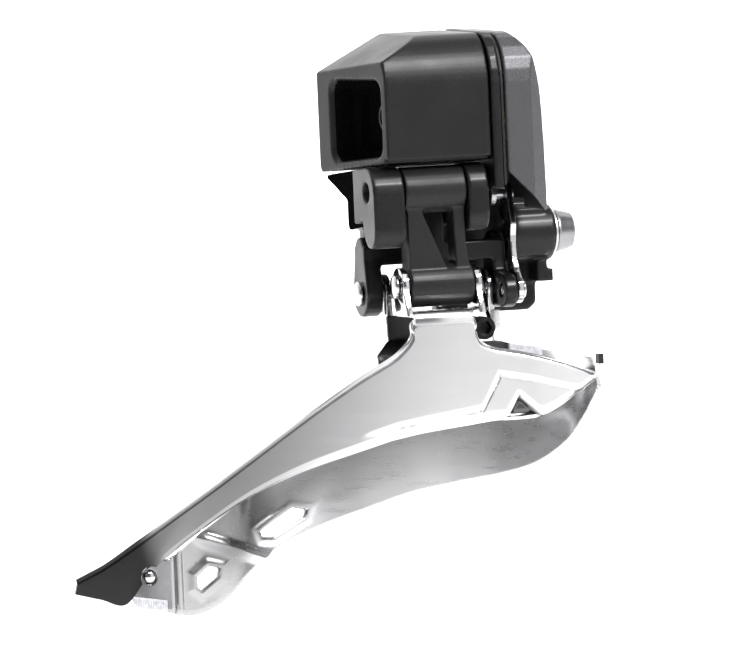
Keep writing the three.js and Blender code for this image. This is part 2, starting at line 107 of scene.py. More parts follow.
def meshFrom(name, verts, faces):
    mesh = bpy.data.meshes.new(name)
    mesh.from_pydata([Vector(v) * mm for v in verts], [], faces)
    bm = bmesh.new()
    bm.from_mesh(mesh)
    bmesh.ops.remove_doubles(bm, verts=bm.verts, dist=1e-7)
    bmesh.ops.recalc_face_normals(bm, faces=bm.faces)
    bm.to_mesh(mesh)
    bm.free()
    return mesh


def smoothStep(value, low, high):
    t = min(max((value - low) / (high - low), 0), 1)
    return t * t * (3 - 2 * t)


# materials

def startMaterial(name):
    material = bpy.data.materials.new(name)
    material.use_nodes = True
    tree = material.node_tree
    shader = tree.nodes["Principled BSDF"]
    coords = tree.nodes.new("ShaderNodeTexCoord")
    return material, tree, shader, coords


def addNoise(tree, coords, scale, stretch=(1, 1, 1), detail=3, turn=0):
    mapping = tree.nodes.new("ShaderNodeMapping")
    mapping.inputs["Scale"].default_value = stretch
    mapping.inputs["Rotation"].default_value = (0, turn, 0)
    noise = tree.nodes.new("ShaderNodeTexNoise")
    noise.inputs["Scale"].default_value = scale
    noise.inputs["Detail"].default_value = detail
    tree.links.new(coords.outputs["Object"], mapping.inputs["Vector"])
    tree.links.new(mapping.outputs["Vector"], noise.inputs["Vector"])
    return noise


def addRamp(tree, source, low, high, colorLow, colorHigh):
    ramp = tree.nodes.new("ShaderNodeValToRGB")
    ramp.color_ramp.elements[0].position = low
    ramp.color_ramp.elements[1].position = high
    ramp.color_ramp.elements[0].color = colorLow
    ramp.color_ramp.elements[1].color = colorHigh
    tree.links.new(source, ramp.inputs["Fac"])
    return ramp


def shadeOf(value, tint=(1, 1, 1.03)):
    return tuple(value * part for part in tint) + (1,)


def addBump(tree, shader, source, strength, depth):
    bump = tree.nodes.new("ShaderNodeBump")
    bump.inputs["Strength"].default_value = strength
    bump.inputs["Distance"].default_value = depth * mm
    tree.links.new(source, bump.inputs["Height"])
    tree.links.new(bump.outputs["Normal"], shader.inputs["Normal"])


def paint(name, dark, light, roughness, grain, grainDepth, metallic=0.0, coat=0.0, specular=0.24,
          tint=(1, 1, 1.06)):
    # sprayed paint: fine grain in the height, slow change in the gloss
    material, tree, shader, coords = startMaterial(name)
    speckle = addNoise(tree, coords, grain, detail=2)
    cloud = addNoise(tree, coords, 120)
    color = addRamp(tree, speckle.outputs["Fac"], 0.35, 0.7, shadeOf(dark, tint), shadeOf(light, tint))
    smooth, rough = shadeOf(roughness - 0.05), shadeOf(roughness + 0.06)
    gloss = addRamp(tree, cloud.outputs["Fac"], 0.3, 0.7, smooth, rough)
    tree.links.new(color.outputs["Color"], shader.inputs["Base Color"])
    tree.links.new(gloss.outputs["Color"], shader.inputs["Roughness"])
    shader.inputs["Metallic"].default_value = metallic
    shader.inputs["Specular IOR Level"].default_value = specular
    shader.inputs["Coat Weight"].default_value = coat
    shader.inputs["Coat Roughness"].default_value = 0.12
    addBump(tree, shader, speckle.outputs["Fac"], 0.6, grainDepth)
    return material


def metal(name, dark, light, roughness, scale, stretch=(1, 1, 1), depth=0.002, tint=(1, 1, 1.02)):
    # bare or plated metal with drawn or polished marks
    material, tree, shader, coords = startMaterial(name)
    marks = addNoise(tree, coords, scale, stretch, 4)
    smudge = addNoise(tree, coords, 90)
    color = addRamp(tree, smudge.outputs["Fac"], 0.35, 0.7, shadeOf(dark, tint), shadeOf(light, tint))
    smooth, rough = shadeOf(max(roughness - 0.04, 0.02)), shadeOf(roughness + 0.05)
    gloss = addRamp(tree, marks.outputs["Fac"], 0.3, 0.7, smooth, rough)
    tree.links.new(color.outputs["Color"], shader.inputs["Base Color"])
    tree.links.new(gloss.outputs["Color"], shader.inputs["Roughness"])
    shader.inputs["Metallic"].default_value = 1
    addBump(tree, shader, marks.outputs["Fac"], 0.35, depth)
    return material


def plateChrome(name, roughness, depth):
    # plated sheet: its colour carries painted shade in creases, the pocket and under the outer plate, and
    # painted reflection that dims it towards the tail; drawn marks follow the sheet
    material, tree, shader, coords = startMaterial(name)
    marks = addNoise(tree, coords, 900, (0.12, 1, 1), 4, math.radians(-32))
    paintedShade = tree.nodes.new("ShaderNodeAttribute")
    paintedShade.attribute_name = "paintedShade"
    color = addRamp(tree, paintedShade.outputs["Fac"], 0, 1, shadeOf(0.015), shadeOf(0.8, (1, 1, 1.01)))
    gloss = addRamp(tree, marks.outputs["Fac"], 0.3, 0.7, shadeOf(roughness), shadeOf(roughness + 0.05))
    tree.links.new(color.outputs["Color"], shader.inputs["Base Color"])
    tree.links.new(gloss.outputs["Color"], shader.inputs["Roughness"])
    shader.inputs["Metallic"].default_value = 1
    addBump(tree, shader, marks.outputs["Fac"], 0.3, depth)
    return material


housingPaint = paint("satinGrainPaint", 0.003, 0.012, 0.4, 5200, 0.022)
castingPaint = paint("castingPaint", 0.003, 0.008, 0.34, 3000, 0.006, coat=0.05)
linkPaint = paint("linkPaint", 0.005, 0.014, 0.4, 5000, 0.03)
coverPaint = paint("metallicCoverPaint", 0.045, 0.11, 0.4, 6500, 0.012, metallic=0.55, coat=0.05)
outerChrome = plateChrome("outerPlateChrome", 0.17, 0.002)
innerChrome = plateChrome("innerPlateChrome", 0.26, 0.003)
brightChrome = metal("brightChrome", 0.45, 0.66, 0.09, 700)
# painted shade: a darker copy of the bright chrome
shadedChrome = metal("shadedChrome", 0.12, 0.3, 0.2, 700)
boltSteel = metal("turnedSteel", 0.2, 0.3, 0.32, 700, (3, 0.3, 0.3), 0.0008)
plainSteel = metal("machinedSteel", 0.35, 0.55, 0.3, 900, (0.3, 1, 1))
gearBrass = metal("gearBrass", 0.45, 0.58, 0.3, 900, tint=(1, 0.7, 0.3))
# painted shade: a darker black with no reflection, for faces that should read as shaded
shadeMatte = paint("shadeMatte", 0.002, 0.005, 0.8, 2500, 0.01, specular=0)
blackSteel = paint("blackOxide", 0.008, 0.02, 0.32, 2500, 0.008, metallic=0.5)
blackResin = paint("blackResin", 0.01, 0.018, 0.5, 1800, 0.01)
boardGreen = paint("boardLaminate", 0.05, 0.09, 0.5, 2500, 0.01, tint=(0.2, 1, 0.4))
frostedResin = paint("frostedResin", 0.42, 0.6, 0.4, 1400, 0.03)

slotMaterials = {
    "black_paint": housingPaint, "black_gloss": castingPaint, "grey_paint": coverPaint,
    "chrome": brightChrome, "brushed_steel": boltSteel, "steel": plainSteel, "black_steel": blackSteel,
    "brass": gearBrass, "resin": blackResin, "frosted": frostedResin, "board": boardGreen,
}
slotOf = {entry["node"]: entry["material_slot"] for entry in frame["record"]["subparts"]}
for nodeName, cadPiece in nodes.items():
    for material in cadPiece.material_slots:
        material.material = slotMaterials[slotOf[nodeName]]
print("materials ready")


# cast and moulded pieces: rounded copies of the design's solids

def roundedCopy(name, node, voxel, passes, material, slot):
    mesh = nodes[node].data.copy()
    bm = bmesh.new()
    bm.from_mesh(mesh)
    bmesh.ops.remove_doubles(bm, verts=bm.verts, dist=1e-6)
    bm.to_mesh(mesh)
    bm.free()
    piece = newPiece(name, mesh, material)
    roundEdges(piece, voxel, passes)
    settle(piece, bodyOf(node), slot, node)
    return piece


def roundEdges(piece, voxel, passes):
    remesh = piece.modifiers.new("remesh", "REMESH")
    remesh.mode = "VOXEL"
    remesh.voxel_size = voxel * mm
    remesh.use_smooth_shade = True
    soften = piece.modifiers.new("soften", "SMOOTH")
    soften.factor = 0.5
    soften.iterations = passes
    bake(piece)
    for polygon in piece.data.polygons:
        polygon.use_smooth = True


def matteFaces(piece, test):
    # the faces that pass the test get a darker matte finish without reflection: painted shade
    piece.data.materials.append(shadeMatte)
    for polygon in piece.data.polygons:
        if test(polygon.center / mm, polygon.normal):
            polygon.material_index = 1


castings = [
    # name, node, voxel mm, smoothing passes, material, slot
    ("baseCasting", "base_bracket", 0.3, 5, castingPaint, "black_gloss"),
    ("outerLinkArm", "outer_link", 0.2, 6, linkPaint, "black_paint"),
    ("innerLinkArm", "inner_link", 0.24, 6, castingPaint, "black_gloss"),
    ("coverShell", "front_cover", 0.24, 3, coverPaint, "grey_paint"),
    ("caseLip", "gearbox_plate", 0.24, 3, castingPaint, "black_paint"),
    ("driveRod", "drive_link", 0.11, 4, brightChrome, "chrome"),
    ("crankGear", "drive_crank", 0.12, 1, plainSteel, "steel"),
    # the tail spacer takes the darker chrome: painted shade
    ("tailSpacer", "tail_bridge", 0.12, 4, shadedChrome, "chrome"),
    ("noseSpacer", "nose_bridge", 0.12, 4, brightChrome, "chrome"),
    ("noseStop", "nose_bumper", 0.1, 4, blackResin, "resin"),
    ("skidPad", "skid_plate", 0.12, 3, frostedResin, "frosted"),
]
rearBevel = {"front": -34, "outboard": -9, "tilt": -0.4}


def onRearBevel(at, normal):
    return at.x < rearBevel["front"] and at.y > rearBevel["outboard"] and normal.x < rearBevel["tilt"]


for entry in castings:
    piece = roundedCopy(*entry)
    if piece.name == "baseCasting":
        # painted shade on the rear bevel
        matteFaces(piece, onRearBevel)
print("castings rounded")


# motor housing

housing = {
    "outboard": -20, "inboard": 6, "top": 36.9, "lowOutboard": 14.4, "lowInboard": 12.6,
    "rearNear": -35.9, "rearFar": -40.3, "front": -16.4, "chamferStart": -28,
    "shoulderWidth": 7, "shoulderHeight": 9, "wall": 1.3, "cavity": (-28.9, -10),
    # the cable port: its corners, the box round them, and levels of (depth, inset) going in
    "mouth": [(-17.9, 15.7), (1.1, 14.3), (1.1, 29.3), (-17.9, 29.5)],
    "mouthRadius": 2.6, "mouthBox": [(-18.4, 1.8), (13.8, 30)], "portReach": 7, "portRim": 0.8,
    "levels": [(-0.8, -0.4), (0, -0.3), (0.5, 0.1), (1.6, 0.5), (4.2, 0.9), (4.5, 1.9), (6.4, 2.5)],
}


def roundedLoop(corners, radius, steps=7):
    points = []
    count = len(corners)
    for i, corner in enumerate(corners):
        here = Vector(corner)
        before = (Vector(corners[i - 1]) - here).normalized()
        after = (Vector(corners[(i + 1) % count]) - here).normalized()
        half = before.angle(after) / 2
        reach = radius / math.tan(half)
        centre = here + (before + after).normalized() * radius / math.sin(half)
        first = here + before * reach - centre
        last = here + after * reach - centre
        for step in range(steps + 1):
            points.append(centre + first.lerp(last, step / steps).normalized() * radius)
    return points


def loftLoops(name, loops):
    verts = [point for loop in loops for point in loop]
    count = len(loops[0])
    faces = []
    for level in range(len(loops) - 1):
        for i in range(count):
            j = (i + 1) % count
            a = level * count
            faces.append((a + i, a + j, a + count + j, a + count + i))
    faces.append(tuple(range(count))[::-1])
    faces.append(tuple(range(len(verts) - count, len(verts))))
    return meshFrom(name, verts, faces)


def caseLoop(inset):
    h = housing
    side, far, top = h["outboard"] + inset, h["inboard"] - inset, h["top"] - inset
    wide, tall = h["shoulderWidth"], h["shoulderHeight"]
    # the last corner's own arc is dropped: the wide shoulder takes its place
    loop = roundedLoop([(side + 1, h["lowOutboard"] + inset), (far, h["lowInboard"] + inset), (far, top),
                        (side + wide, top)], 0.8)[:-8]
    for step in range(15):
        angle = math.radians(90 + 90 * step / 14)
        loop.append(Vector((side + wide + wide * math.cos(angle), top - tall + tall * math.sin(angle))))
    loop.append(Vector((side, h["lowOutboard"] + inset + 0.6)))
    return loop


def prismAlongX(name, loop, x0, x1):
    return loftLoops(name, [[(x, y, z) for y, z in loop] for x in (x0, x1)])


def cutWith(piece, tool):
    modifier = piece.modifiers.new("cut", "BOOLEAN")
    modifier.operation = "DIFFERENCE"
    modifier.solver = "EXACT"
    modifier.object = tool
    bake(piece)
    bpy.data.objects.remove(tool)


def wedge(name, outline, axis, low, high):
    # outline of points across an axis, drawn out along it
    if axis == "z":
        loops = [[(a, b, level) for a, b in outline] for level in (low, high)]
    else:
        loops = [[(a, level, b) for a, b in outline] for level in (low, high)]
    return newPiece(name, loftLoops(name, loops), blackResin)


def rearAt(y):
    # the slanted rear face's x
    h = housing
    depth = h["inboard"] - h["outboard"]
    return h["rearNear"] + (h["rearFar"] - h["rearNear"]) * (y - h["outboard"]) / depth


def inPort(at, normal):
    # whether a point lies on the port's inner walls, deeper than its rim
    (y0, y1), (z0, z1) = housing["mouthBox"]
    inMouth = y0 < at.y < y1 and z0 < at.z < z1
    return inMouth and rearAt(at.y) + housing["portRim"] < at.x < rearAt(at.y) + housing["portReach"]


def makeHousing():
    h = housing
    blank = prismAlongX("motorHousing", caseLoop(0), -42, h["front"])
    piece = newPiece("motorHousing", blank, housingPaint)
    cavity = prismAlongX("cavityTool", caseLoop(h["wall"]), *h["cavity"])
    cutWith(piece, newPiece("cavityTool", cavity, blackResin))
    slant = [(-46, -24), (h["rearNear"] + 0.4, -24), (h["rearNear"], h["outboard"]),
             (h["rearFar"], h["inboard"]), (h["rearFar"] - 0.4, 10), (-46, 10)]
    cutWith(piece, wedge("rearTool", slant, "z", 0, 50))
    slope = [(h["chamferStart"], h["top"] + 0.01), (-41, 30.1), (-46, 30), (-46, 42),
             (h["chamferStart"], 42)]
    cutWith(piece, wedge("chamferTool", slope, "y", -25, 12))
    centre = sum((Vector(c) for c in h["mouth"]), Vector((0, 0))) / 4
    loops = []
    for depth, inset in h["levels"]:
        corners = [Vector(c) + (centre - Vector(c)).normalized() * inset * 1.35 for c in h["mouth"]]
        loop = roundedLoop([tuple(c) for c in corners], max(h["mouthRadius"] - inset * 0.4, 0.8))
        loops.append([(rearAt(y) + depth, y, z) for y, z in loop])
    cutWith(piece, newPiece("portTool", loftLoops("portTool", loops), blackResin))
    roundEdges(piece, 0.26, 4)
    # painted shade inside the port
    matteFaces(piece, inPort)
    settle(piece, "base", "black_paint", "motor_housing")


makeHousing()
print("housing made")


# cage plates: stations run from tail to nose, each an upper and a lower edge point (x, y, z)

outerPlate = {
    "name": "outerCagePlate", "columns": 300, "rows": 64, "thickness": 0.9,
    "stations": [
        ((-97.4, -21.2, -55.8), (-98, -21.2, -58.2)), ((-92, -21.5, -53.3), (-93.4, -21.5, -59.4)),
        ((-85.8, -21.8, -49.6), (-88.8, -21.8, -60.5)), ((-79, -22, -45.5), (-83.4, -22, -54.4)),
        ((-72, -22, -41.2), (-75.5, -22, -49.1)), ((-62, -22, -34.8), (-66, -22, -43.5)),
        ((-52, -22, -28.3), (-56, -22, -39.4)), ((-43, -22, -22.9), (-46, -22, -36.6)),
        ((-36.8, -22, -19.6), (-38, -22, -34.6)), ((-34.2, -22, -17.4), (-35.2, -22, -34.1)),
        ((-33.2, -22, -15.8), (-33.4, -22, -33.8)), ((-32.9, -22, -13.6), (-31.6, -22, -33.5)),
        ((-27, -22, -13.5), (-27.3, -22, -33)), ((-22.1, -22, -13.6), (-22.4, -22, -32.5)),
        ((-21.9, -22, -15.6), (-20.6, -22, -32.3)), ((-21, -22, -17.8), (-18.6, -22, -32.1)),
        ((-18.2, -22, -19.2), (-16.4, -22, -32)), ((-13.5, -22, -20.2), (-12.6, -22, -32)),
        ((-9.5, -22, -21.2), (-8.8, -22, -31.6)), ((-4.7, -21.9, -22.7), (-4.7, -21.9, -29.7)),
        ((-1.5, -21.6, -23.8), (-1.6, -21.6, -27.5)), ((0.8, -21.1, -24.7), (0.9, -21.1, -26))],
}
innerPlate = {
    "name": "innerCagePlate", "columns": 280, "rows": 90, "thickness": 0.9,
    "stations": [
        ((-79.5, -17, -53.5), (-80.4, -17, -62.1)), ((-77, -17, -52), (-77.4, -17, -63.2)),
        ((-73.5, -17, -49.4), (-73.8, -17, -63.2)), ((-67, -17, -45), (-69.2, -17, -61.2)),
        ((-62, -13, -41.6), (-63.8, -15, -57.2)), ((-56, -11.4, -37.4), (-57.6, -12.2, -53.5)),
        ((-47, -11, -31), (-49.2, -11, -50.2)), ((-38.5, -11, -24.2), (-39.8, -11, -47.5)),
        ((-33, -11, -20.6), (-31.6, -11, -45.3)), ((-24, -11, -19.3), (-22.2, -11, -43.8)),
        ((-15, -11.3, -18.4), (-14.6, -11.6, -42.8)), ((-9.5, -11.6, -19.6), (-8.1, -13.4, -41)),
        ((-4.5, -12, -20.8), (-2.6, -15.4, -37)), ((0, -12.2, -21.9), (0.1, -17.8, -32.4)),
        ((3.5, -12.5, -22.8), (2, -20, -27.2))],
}


def alongSpline(points, t):
    # cubic through the points, its slopes held to each span's length, t from 0 to 1
    count = len(points) - 1
    place = min(t * count, count - 1e-6)
    i = int(place)
    f = place - i
    p1, p2 = points[i], points[i + 1]
    m1 = (p2 - points[i - 1]) * 0.5 if i else p2 - p1
    m2 = (points[i + 2] - p1) * 0.5 if i + 2 <= count else p2 - p1
    reach = (p2 - p1).length
    m1 = m1.normalized() * min(m1.length, reach)
    m2 = m2.normalized() * min(m2.length, reach)
    f2, f3 = f * f, f * f * f
    return p1 * (2 * f3 - 3 * f2 + 1) + m1 * (f3 - 2 * f2 + f) + p2 * (3 * f2 - 2 * f3) + m2 * (f3 - f2)


def fromLine(x, z, start, end):
    # signed distance to the line, and how far along it the point stands, 0 to 1
    dx, dz = end[0] - start[0], end[1] - start[1]
    length = math.hypot(dx, dz)
    along = ((x - start[0]) * dx + (z - start[1]) * dz) / length ** 2
    side = ((x - start[0]) * dz - (z - start[1]) * dx) / length
    return side, along


def insidePolygon(x, z, polygon):
    # least signed distance to the sides of a convex polygon, positive inside
    centre = [sum(c) / len(polygon) for c in zip(*polygon)]
    least = 1e9
    for i, corner in enumerate(polygon):
        following = polygon[(i + 1) % len(polygon)]
        side = fromLine(x, z, corner, following)[0]
        inner = fromLine(centre[0], centre[1], corner, following)[0]
        least = min(least, side if inner > 0 else -side)
    return least


embossing = {
    "stepLine": [(-44, -33.2), (-36.7, -31.6), (-28.7, -30.6), (-21, -29.5), (-17.5, -23.4), (-10, -24.9),
                 (-5.4, -26.2), (2, -28.2)],
    "stepDepth": 1.2, "stepWidth": 0.8, "stepFade": (-44, -34),
    "pocket": [(-17, -32.2), (-13.6, -26.8), (-8.6, -31.2), (-8.8, -32.2)],
    "pocketDepth": 1.6, "pocketSlope": 1.4, "rollWidth": 1.6, "rollDepth": 1.5, "rollStart": (-82, -76),
    "topRoll": 0.7, "topRollWidth": 0.9,
    # painted reflection: how far back the plate's colour dims, and by how much, and the darker tail tip
    "middleSpan": (20, 72), "middleDim": 0.68, "tailSpan": (81, 86), "tailDim": 0.9,
}


def belowStep(x, z):
    # height of the point under the step line, positive below it
    line = embossing["stepLine"]
    if x <= line[0][0]:
        return -1
    for (x0, z0), (x1, z1) in zip(line, line[1:]):
        if x <= x1:
            slope = math.hypot(x1 - x0, z1 - z0) / (x1 - x0)
            return (z0 + (z1 - z0) * (x - x0) / (x1 - x0) - z) / slope
    return 1


def outerRelief(x, z, v, height):
    e = embossing
    fade = smoothStep(x, *e["stepFade"])
    shift = e["stepDepth"] * fade * smoothStep(belowStep(x, z), -0.2, e["stepWidth"])
    well = insidePolygon(x, z, e["pocket"])
    shift += e["pocketDepth"] * smoothStep(well, 0, e["pocketSlope"])
    fromLow = (1 - v) * height
    shift += e["rollDepth"] * (1 - smoothStep(fromLow, 0, e["rollWidth"])) * smoothStep(x, *e["rollStart"])
    fromTop = v * height
    shift += e["topRoll"] * (1 - smoothStep(fromTop, 0, e["topRollWidth"])) ** 2
    under = belowStep(x, z)
    wall = fade * smoothStep(under, -0.5, 0.1) * (1 - smoothStep(under, 0.5, 1.1))
    # painted shade: the pocket is darkened and the step's wall dimmed
    paintedShade = (1 - 0.9 * smoothStep(well, 0.1, 0.7)) * (1 - 0.3 * wall)
    # painted reflection: the colour dims towards the tail, and the tail tip is darker still
    tail = smoothStep(-(x + 0.25 * (z + 52)), *e["tailSpan"])
    middle = smoothStep(-x, *e["middleSpan"])
    return shift, paintedShade * (1 - e["middleDim"] * middle) * (1 - e["tailDim"] * tail)


ribs = {
    "stepStart": (-72.2, -50.2), "stepEnd": (-60.2, -54.5), "ribHeight": 0.9, "ribWidth": 0.8,
    "uprights": [-78.9, -77.5], "uprightHeight": 0.7, "uprightWidth": 0.45,
    "slots": [
        [(-60.8, -49.6), (-53.9, -45.9), (-51.2, -46.5), (-51.7, -47.8), (-58, -50.9), (-60.4, -50.7)],
        [(-74, -56.6), (-71.9, -54.9), (-70, -55.4), (-70.2, -56.9), (-73.3, -59.2), (-74.1, -58.6)]],
    "rimHeight": 0.35, "rimWidth": 0.7, "band": 0.7, "lipHeight": 0.5, "lipWidth": 0.8,
    # painted shade: the plate's base level, its darkening under the outer plate and the dimmed tail end
    "paintedShade": 0.85, "hollowDim": 0.64, "panelSpan": (-66, -60), "panelDim": 0.42,
}


def innerRelief(x, z, v, height):
    r = ribs
    side, along = fromLine(x, z, r["stepStart"], r["stepEnd"])
    rib = math.exp(-(side / r["ribWidth"]) ** 2) * smoothStep(along, -0.25, 0.05)
    rib *= 1 - smoothStep(along, 1, 1.3)
    shift = -r["ribHeight"] * rib
    for upright in r["uprights"]:
        shift -= r["uprightHeight"] * math.exp(-((x - upright) / r["uprightWidth"]) ** 2)
    for slot in r["slots"]:
        edge = insidePolygon(x, z, slot)
        shift -= r["rimHeight"] * math.exp(-((edge + 0.5) / r["rimWidth"]) ** 2)
    shift += r["band"] * 4 * v * (1 - v) * smoothStep(x, -66, -52) * (1 - smoothStep(x, -16, 0))
    fromLow = (1 - v) * height
    shift += r["lipHeight"] * (1 - smoothStep(fromLow, 0, r["lipWidth"])) ** 2
    # painted shade: darker just under the outer plate's lower edge
    hollow = smoothStep(x, -76, -64) * (1 - smoothStep(x, -14, -2))
    paintedShade = r["paintedShade"] - r["hollowDim"] * hollow * (1 - smoothStep(v, 0.4, 0.97))
    # painted shade: the tail end of the plate is dimmed
    panel = 1 - smoothStep(x, *r["panelSpan"])
    return shift, paintedShade * (1 - r["panelDim"] * panel)


def formPlate(plate, relief):
    upper = [Vector(s[0]) for s in plate["stations"]]
    lower = [Vector(s[1]) for s in plate["stations"]]
    verts, paintedShades, faces = [], [], []
    columns, rows = plate["columns"], plate["rows"]
    for i in range(columns + 1):
        high = alongSpline(upper, i / columns)
        low = alongSpline(lower, i / columns)
        height = (high - low).length
        for j in range(rows + 1):
            v = j / rows
            point = high.lerp(low, v)
            shift, paintedShade = relief(point.x, point.z, v, height)
            verts.append((point.x, point.y + shift, point.z))
            paintedShades.append(paintedShade)
    for i in range(columns):
        for j in range(rows):
            a = i * (rows + 1) + j
            faces.append((a, a + 1, a + rows + 2, a + rows + 1))
    mesh = bpy.data.meshes.new(plate["name"])
    mesh.from_pydata([Vector(v) * mm for v in verts], [], faces)
    # painted shade and painted reflection for each point, laid into the plate's colour
    attribute = mesh.attributes.new("paintedShade", "FLOAT", "POINT")
    attribute.data.foreach_set("value", paintedShades)
    return mesh


def thicken(piece, thickness):
    solid = piece.modifiers.new("wall", "SOLIDIFY")
    solid.thickness = thickness * mm
    solid.offset = 0
    bake(piece)


def makeOuterPlate():
    piece = newPiece("outerCagePlate", formPlate(outerPlate, outerRelief), outerChrome)
    thicken(piece, outerPlate["thickness"])
    notch = roundedLoop([(-86, -54), (-82, -54), (-82, -58), (-86, -58)], 1.98, 9)
    cutWith(piece, wedge("notchTool", notch, "y", -25, -18))
    smoothShade(piece, 50)
    settle(piece, "cage", "chrome", "outer_plate")


def makeInnerPlate():
    piece = newPiece("innerCagePlate", formPlate(innerPlate, innerRelief), innerChrome)
    thicken(piece, innerPlate["thickness"])
    for slot in ribs["slots"]:
        cutWith(piece, wedge("slotTool", roundedLoop(slot, 0.35, 4), "y", -24, -6))
    smoothShade(piece, 50)
    settle(piece, "cage", "chrome", "inner_plate")


makeOuterPlate()
makeInnerPlate()
print("plates formed")


# necks: bent sheet between the plates and their pivot ears

def bentSheet(name, path, x0, x1, thickness, material, paintedShades=(1, 1)):
    # path of (y, z) points, rounded at its bends, swept along X
    fine = []
    for i, point in enumerate(path):
        if i in (0, len(path) - 1):
            fine.append(Vector(point))
            continue
        here = Vector(point)
        before = (Vector(path[i - 1]) - here)
        after = (Vector(path[i + 1]) - here)
        radius = min(1.1, before.length * 0.45, after.length * 0.45)
        start, end = here + before.normalized() * radius, here + after.normalized() * radius
        for step in range(7):
            t = step / 6
            fine.append(start * (1 - t) ** 2 + here * 2 * t * (1 - t) + end * t * t)
    verts = [(x, p.x, p.y) for p in fine for x in (x0(p), x1(p))]
    faces = [(2 * i, 2 * i + 1, 2 * i + 3, 2 * i + 2) for i in range(len(fine) - 1)]
    mesh = bpy.data.meshes.new(name)
    mesh.from_pydata([Vector(v) * mm for v in verts], [], faces)
    # painted shade for each point, one value for each side of the sheet
    attribute = mesh.attributes.new("paintedShade", "FLOAT", "POINT")
    attribute.data.foreach_set("value", list(paintedShades) * len(fine))
    piece = newPiece(name, mesh, material)
    thicken(piece, thickness)
    bevelEdges(piece, 0.15)
    return piece


def bevelEdges(piece, width):
    bevel = piece.modifiers.new("edge", "BEVEL")
    bevel.width = width * mm
    bevel.segments = 3
    bevel.limit_method = "ANGLE"
    bevel.angle_limit = math.radians(50)
    bake(piece)
    smoothShade(piece, 35)


def earDisc(name, centre, radius, hole, x0, x1, foot, material):
    # flat ear: a ring round the pivot, hulled down to its foot points (y, z)
    steps = 40
    low = math.asin(-0.35)
    loop = [Vector(point) for point in foot]
    for i in range(steps + 1):
        angle = low + (math.pi - 2 * low) * i / steps
        loop.append(Vector((centre[0] + radius * math.cos(angle), centre[1] + radius * math.sin(angle))))
    piece = newPiece(name, prismAlongX(name, loop, x0, x1), material)
    bore = [Vector((centre[0] + hole * math.cos(2 * math.pi * i / 32),
                    centre[1] + hole * math.sin(2 * math.pi * i / 32))) for i in range(32)]
    cutWith(piece, newPiece("boreTool", prismAlongX("boreTool", bore, x0 - 2, x1 + 2), material))
    bevelEdges(piece, 0.14)
    return piece


# paths, centres and feet are points (y, z); an ear spans its two x values
neck = {
    "outerPath": [(-22, -15.2), (-22, -12.45), (-14.4, -12.45)], "outerThickness": 0.85,
    "innerPath": [(-11, -24.5), (-11, -20.8), (-8.2, -17), (-8.2, -13)],
    "outerCentre": (-16, -7.5), "outerFoot": [(-20.9, -12.7), (-14.2, -12.7)],
    "innerCentre": (-5, -9), "innerFoot": [(-8.6, -14.6), (-6.8, -14.6)],
    "earRadius": 3.3, "earHole": 1.7,
}


def makeNecks():
    outer = bentSheet("outerNeckFold", neck["outerPath"],
                      lambda p: -32.9 - 0.9 * smoothStep(p.x, -22, -20),
                      lambda p: -22 + 3 * smoothStep(p.x, -22, -20), neck["outerThickness"], outerChrome)
    settle(outer, "cage", "chrome")
    # painted reflection of the black casting: the inner neck's colour runs dark at the rear to middling at
    # the front
    inner = bentSheet("innerNeck", neck["innerPath"], lambda p: -33.6 - 2.8 * smoothStep(-p.y, 17.6, 18.6),
                      lambda p: -19.5, innerPlate["thickness"], innerChrome, (0.05, 0.55))
    settle(inner, "cage", "chrome")
    strip = bentSheet("innerNeckStrip", neck["innerPath"], lambda p: -14.2, lambda p: -12.4,
                      innerPlate["thickness"], innerChrome)
    settle(strip, "cage", "chrome")
    ears = [("outerEarRear", "outer", -33.8, -32.6), ("outerEarFront", "outer", -20.2, -19),
            ("innerEarRear", "inner", -33.6, -32.4), ("innerEarFront", "inner", -14.3, -13.35)]
    for name, side, x0, x1 in ears:
        disc = earDisc(name, neck[side + "Centre"], neck["earRadius"], neck["earHole"], x0, x1,
                       neck[side + "Foot"], brightChrome)
        settle(disc, "cage", "chrome")


makeNecks()
print("necks bent")


# turned pieces: bolts and pins as profiles of (distance along, radius)

def turned(name, profile, origin, axis, material, sides=48, hexagon=None):
    angles = [2 * math.pi * i / sides for i in range(sides)]
    loops = [[(along, radius * math.cos(angle), radius * math.sin(angle)) for angle in angles]
             for along, radius in profile]
    mesh = loftLoops(name, loops)
    piece = newPiece(name, mesh, material)
    if hexagon:
        across, start, end = hexagon
        flats = [(across * math.cos(math.pi / 3 * i), across * math.sin(math.pi / 3 * i)) for i in range(6)]
        cutWith(piece, newPiece("hexTool", prismAlongX("hexTool", flats, start, end), material))
    turn = {"x": Matrix.Identity(4), "y": Matrix.Rotation(math.pi / 2, 4, "Z")}[axis]
    piece.data.transform(Matrix.Translation(Vector(origin) * mm) @ turn)
    bevelEdges(piece, 0.07)
    return piece


def threaded(start, end, radius, pitch=0.8, depth=0.22):
    rings = []
    count = int((end - start) / pitch)
    for i in range(count):
        at = start + i * pitch
        rings += [(at, radius - depth), (at + pitch * 0.5, radius)]
    return rings + [(end, radius - depth)]


